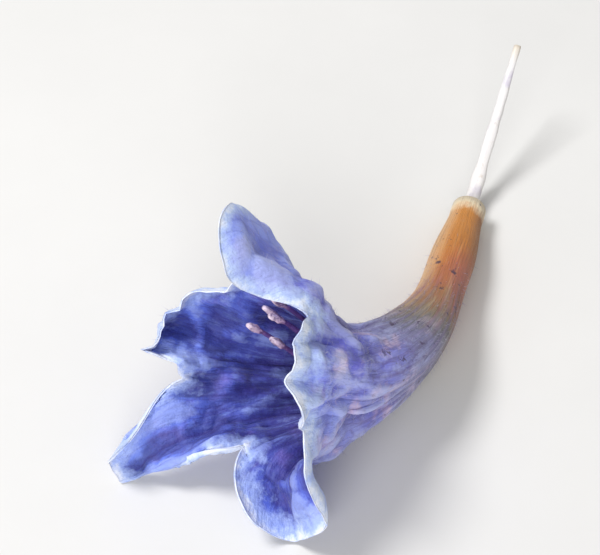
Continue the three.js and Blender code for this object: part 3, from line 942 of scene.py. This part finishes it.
# Spots: scale, cloud values between which they show, colour
LILAC_SPOTS = (480, (0.55, 0.74), (148, 124, 206))
BLUSH = (260, (0.42, 0.62), (186, 104, 84))
BLOTCHES = (330, (0.5, 0.66), (108, 112, 214))
FRECKLES = (700, (0.53, 0.68), (220, 192, 216))
SPECKS = (1500, (0.635, 0.675), (52, 38, 66))
STYLE_STAINS = (420, (0.54, 0.7), (188, 178, 204))
STYLE_DOTS = (2400, (0.6, 0.72), (190, 168, 140))
ANTHER_DUST = (1900, (0.47, 0.6), (84, 54, 108))
HAIR_SHADES = (500, (0.4, 0.6), (208, 204, 228))
PAPER_SHADES = (60, (0.3, 0.7), (230, 229, 227))

# Marks on the outer face: angle, length s, reach in radians, colour
# The first mark is painted shade: a deeper blue patch where the top lobe meets the right lobe
PAINTED_SHADE_PATCH = (347, 20.4, 0.85, (92, 92, 208))
SCUFF = (320, 20.6, 0.16, (236, 216, 242))
MARK_SHAPE = 4.5  # makes a mark as long as it is wide
MARK_SCALE, MARK_WANDER, MARK_CORE, MARK_STRENGTH = 9, 0.45, 0.3, 0.85


def last_coats(finish, streak, colour, look):
    """Veins, painted highlight and shade on the creases, the bleached margin with its painted
    highlight, and dry grain, which both faces have.
    """
    look = {"Place": finish.place, "Streak": streak, "Pleat Place": streak, **look}
    for label in ("Vein", "Crest", "Pale"):
        look[label] = finish.value(label.lower())
    for group in (vein_lines, crest_highlight_and_hollow_shade, pale_margin):
        colour = finish.coat(group, {"Color": colour, **look})
    finish.colour(colour)
    finish.grain(PETAL_GRAIN, PETAL_GRAIN_DEPTH, {"Lumps": PETAL_LUMPS, **look})


def petal_inside_finish():
    """Inner face of the petal: violet throat with painted shade, deep blue lobes with painted
    light and shade, bleached margins partly painted light.
    """
    finish = Finish("petal_inside", roughness=0.5, specular=0.35, sheen=0.15)
    length, streak = finish.value("length"), finish.value("streak", "Vector")
    # Both ramps grow darker towards the throat: its violet, with painted shade deep in it
    deep = ramp(span(length, DEEP_SPAN), [
        (0.0, (96, 82, 128)),
        (0.48, (74, 66, 134)),
        (0.6, (68, 74, 164)),
        (0.74, (70, 92, 200)),
        (1.0, (74, 102, 218)),
    ])
    light = ramp(span(length, LIGHT_SPAN), [
        (0.0, (78, 70, 138)),
        (0.35, (84, 98, 194)),
        (0.62, (102, 124, 226)),
        (1.0, (124, 148, 240)),
    ])
    # Painted light and shade lobe by lobe: each lobe mixes the dark and light colours
    body = blend(finish.value("painted_lobe_light"), deep, light)
    streaks = cloud(streak, *INSIDE_CLOUD)
    bright = blend(span(streaks, *INSIDE_BRIGHT), body, tone(146, 168, 246))
    dark = blend(span(streaks, *INSIDE_DARK), bright, tone(52, 48, 140))
    last_coats(finish, streak, finish.spotted(dark, LILAC_SPOTS, share=0.55), {
        "Line Color": tone(60, 44, 134), "Veins": 0.6, "Net": 0.35,
        # Painted highlight on the crests and painted shade in the hollows
        "Crest Highlight Color": tone(168, 186, 250), "Crest Highlight Share": 0.52,
        "Shade Color": tone(40, 34, 112), "Shade": 0.6,
        # Bleached margin, partly painted light, with a painted highlight at the rim
        "Band Color": tone(176, 196, 250), "Rim Highlight Color": tone(230, 236, 254), "Band": 1.0,
        "Scale": 8000, "Pleat Scale": 16, "Pleats": 6.0,
    })
    return finish.made


def marked(streak, mark, under):
    """One mark with a ragged edge, over the colour under it."""
    angle, s, reach, colour = mark
    turn = math.radians(angle)
    shape = {0: streak, 1: (1, 1, MARK_SHAPE)}
    even = new_node("VectorMath", shape, operation="MULTIPLY")
    middle = (math.cos(turn), math.sin(turn), s / STREAK_REACH * MARK_SHAPE)
    away = new_node("VectorMath", {0: even, 1: middle}, "Value", operation="DISTANCE")
    ragged = wander(cloud(even, MARK_SCALE), MARK_WANDER * reach)
    cover = span(plus(away, ragged), (reach, MARK_CORE * reach))
    return blend(times(cover, MARK_STRENGTH), under, tone(*colour))


def petal_outside_finish():
    """Outer face: cream collar, orange tube, olive bend, lilac-grey funnel, periwinkle lobes."""
    finish = Finish("petal_outside", roughness=0.58, specular=0.3, sheen=0.2)
    length, streak = finish.value("length"), finish.value("streak", "Vector")
    streaks = cloud(streak, *OUTSIDE_CLOUD)
    flank = new_node("SeparateXYZ", {0: streak}, "Y")
    slanting = plus(length, span(flank, *FLANK_SLANT))
    wandering = plus(slanting, wander(streaks, STREAK_WANDER))
    body = ramp(span(wandering, OUTSIDE_SPAN), [
        (0.0, (220, 144, 54)),
        (0.2, (198, 122, 44)),
        (0.29, (172, 112, 66)),
        (0.36, (150, 124, 94)),
        (0.41, (122, 118, 110)),
        (0.47, (122, 122, 156)),
        (0.6, (146, 148, 212)),
        (0.8, (146, 162, 250)),
        (1.0, (158, 176, 255)),
    ])
    petal, tube = span(slanting, PETAL_BEGINS), span(wandering, TUBE_ENDS)
    # Painted light on the tube's flank at 90 degrees and painted shade on its flank at 270 degrees
    in_sun = times(tube, span(flank, *SUNNY_FLANK))
    sunny = blend(in_sun, body, tone(230, 196, 150))
    in_shade = times(tube, span(flank, *SHADY_FLANK))
    shady = blend(in_shade, sunny, tone(112, 70, 38))
    blush = times(span(length, *BLUSH_COMES), span(length, BLUSH_GOES))
    blushed = finish.spotted(shady, BLUSH, blush)
    worn = wander(cloud(finish.place, *COLLAR_CLOUD), COLLAR_WANDER)
    collar = span(plus(length, worn), COLLAR_ENDS)
    ring = blend(collar, blushed, tone(252, 234, 200))
    pale_streak = blend(petal, tone(232, 186, 120), tone(196, 200, 242))
    dark_streak = blend(petal, tone(116, 66, 34), tone(92, 84, 150))
    pale = blend(span(streaks, *OUTSIDE_BRIGHT), ring, pale_streak)
    dark = blend(span(streaks, *OUTSIDE_DARK), pale, dark_streak)
    blotched = finish.spotted(dark, BLOTCHES, span(slanting, *BLOTCHES_COME))
    freckles = times(span(slanting, *FRECKLES_COME), span(length, *FRECKLES_GO))
    freckled = finish.spotted(blotched, FRECKLES, freckles)
    specked = finish.spotted(freckled, SPECKS, span(length, *SPECKS_COME))
    # A painted shade patch, then a pale scuff
    shaded_and_scuffed = marked(streak, SCUFF, marked(streak, PAINTED_SHADE_PATCH, specked))
    line_turn = span(length, LINE_COLOUR_TURN)
    shade_turn = span(length, SHADE_COLOUR_TURN)
    last_coats(finish, streak, shaded_and_scuffed, {
        "Line Color": blend(line_turn, tone(96, 74, 124), tone(104, 112, 208)),
        "Veins": 0.5, "Net": span(length, *NET_COMES),
        # Painted highlight on the crests and painted shade in the hollows
        "Crest Highlight Color": tone(200, 209, 254), "Crest Highlight Share": span(slanting, *HIGHLIGHT_COMES),
        "Shade Color": blend(shade_turn, tone(84, 78, 146), tone(92, 104, 210)),
        "Shade": span(slanting, *SHADE_COMES),
        # Bleached margin, partly painted light, with a painted highlight at the rim
        "Band Color": tone(192, 212, 252), "Rim Highlight Color": tone(234, 240, 254), "Band": 0.95,
        "Scale": 7000, "Pleat Scale": 14, "Pleats": 5.0,
    })
    return finish.made


STYLE_SPAN = (-STYLE_FREE, 1.5)  # from the free end to where the brown of the tube is full


def style_finish():
    """White, dry thread with a few lilac-grey stretches, brownish where it enters the tube."""
    finish = Finish("style_white", roughness=0.45, specular=0.35)
    body = ramp(span(finish.value("length"), STYLE_SPAN), [
        (0.0, (226, 214, 196)),
        (0.1, (240, 238, 238)),
        (0.8, (242, 238, 236)),
        (1.0, (196, 160, 112)),
    ])
    stained = finish.spotted(body, STYLE_STAINS, share=0.75)
    finish.colour(finish.spotted(stained, STYLE_DOTS, share=0.4))
    finish.grain(strength=0.4, depth=0.04, values={
        "Scale": 5000, "Lumps": 1.0, "Pleat Scale": 900, "Pleats": 1.0,
    })
    return finish.made


def stamen_finish():
    """Violet filament and a pink-white anther with dark dust on it."""
    finish = Finish("stamen_pink", roughness=0.55, specular=0.3)
    body = ramp(finish.value("anther"), [
        (0.0, (104, 74, 140)),
        (0.05, (150, 110, 160)),
        (0.2, (206, 168, 196)),
        (1.0, (232, 212, 224)),
    ])
    finish.colour(finish.spotted(body, ANTHER_DUST, share=0.85))
    finish.grain(strength=0.7, depth=0.07, values={
        "Scale": 4000, "Lumps": 1.0, "Pleat Scale": 1300, "Pleats": 1.5,
    })
    return finish.made


def hair_finish():
    """Pale lilac hairs."""
    finish = Finish("hair_pale", roughness=0.45, specular=0.3)
    finish.colour(finish.spotted(tone(164, 158, 196), HAIR_SHADES, share=1.0))
    return finish.made


def paper_finish():
    """Plain white surface under the flower."""
    finish = Finish("white_paper", roughness=0.75, specular=0.2)
    finish.colour(finish.spotted(tone(226, 225, 223), PAPER_SHADES, share=1.0))
    return finish.made


# Surface, lights and camera
FLOOR_SIZE = 1.2
KEY_PLACE, KEY_SIZE, KEY_POWER = (-0.17, 0.04, 0.29), 0.12, 0.8
FILL_PLACE, FILL_SIZE, FILL_POWER = (-0.06, -0.29, 0.17), 0.2, 0.6
ROOM_LIGHT = 0.36
CAMERA_AZIMUTH, CAMERA_ELEVATION = 0, 50
CAMERA_AIM = (-0.00151, -0.00006, 0.00322)
CAMERA_DISTANCE = 0.09
CAMERA_LENS, CAMERA_CLIP = 105, 0.005


def white_surface(finish):
    """Level surface that the flower lies on."""
    half = FLOOR_SIZE / 2
    corners = [(-half, -half, 0), (half, -half, 0), (half, half, 0), (-half, half, 0)]
    mesh = bpy.data.meshes.new("white_surface")
    mesh.from_pydata(corners, [], [(0, 1, 2, 3)])
    mesh.materials.append(finish)
    put("white_surface", mesh)


def facing(back):
    """Turn of a lamp or a camera that looks the opposite way of back."""
    return (-back).to_track_quat("-Z", "Y").to_euler()


def soft_light(name, place, size, power):
    """Round lamp that looks at the flower."""
    lamp = bpy.data.lights.new(name, "AREA")
    lamp.shape = "DISK"
    lamp.size = size
    lamp.energy = power
    holder = put(name, lamp)
    holder.location = place
    holder.rotation_euler = facing(Vector(place))


def room_light():
    """Even white light from all sides."""
    world = bpy.data.worlds.new("studio")
    world.use_nodes = True
    background = world.node_tree.nodes["Background"]
    background.inputs["Color"].default_value = (1, 1, 1, 1)
    background.inputs["Strength"].default_value = ROOM_LIGHT
    bpy.context.scene.world = world


def camera():
    """Camera at the height and side from which the flower is seen in the photograph."""
    azimuth, elevation = math.radians(CAMERA_AZIMUTH), math.radians(CAMERA_ELEVATION)
    back = Vector((
        math.sin(azimuth) * math.cos(elevation),
        -math.cos(azimuth) * math.cos(elevation),
        math.sin(elevation),
    ))
    lens = bpy.data.cameras.new("camera")
    lens.lens = CAMERA_LENS
    lens.clip_start = CAMERA_CLIP
    holder = put("camera", lens)
    holder.location = Vector(CAMERA_AIM) + back * CAMERA_DISTANCE
    holder.rotation_euler = facing(back)
    bpy.context.scene.camera = holder


white_surface(paper_finish())
soft_light("key_light", KEY_PLACE, KEY_SIZE, KEY_POWER)
soft_light("fill_light", FILL_PLACE, FILL_SIZE, FILL_POWER)
room_light()
camera()
bpy.context.scene.view_settings.view_transform = "Standard"

wall = corolla_piece(petal_inside_finish(), petal_outside_finish())
style_piece(style_finish())
pink = stamen_finish()
for number, (angle, end) in enumerate(STAMENS, 1):
    stamen_piece(number, angle, end, pink)
hair_piece(*wall, hair_finish())
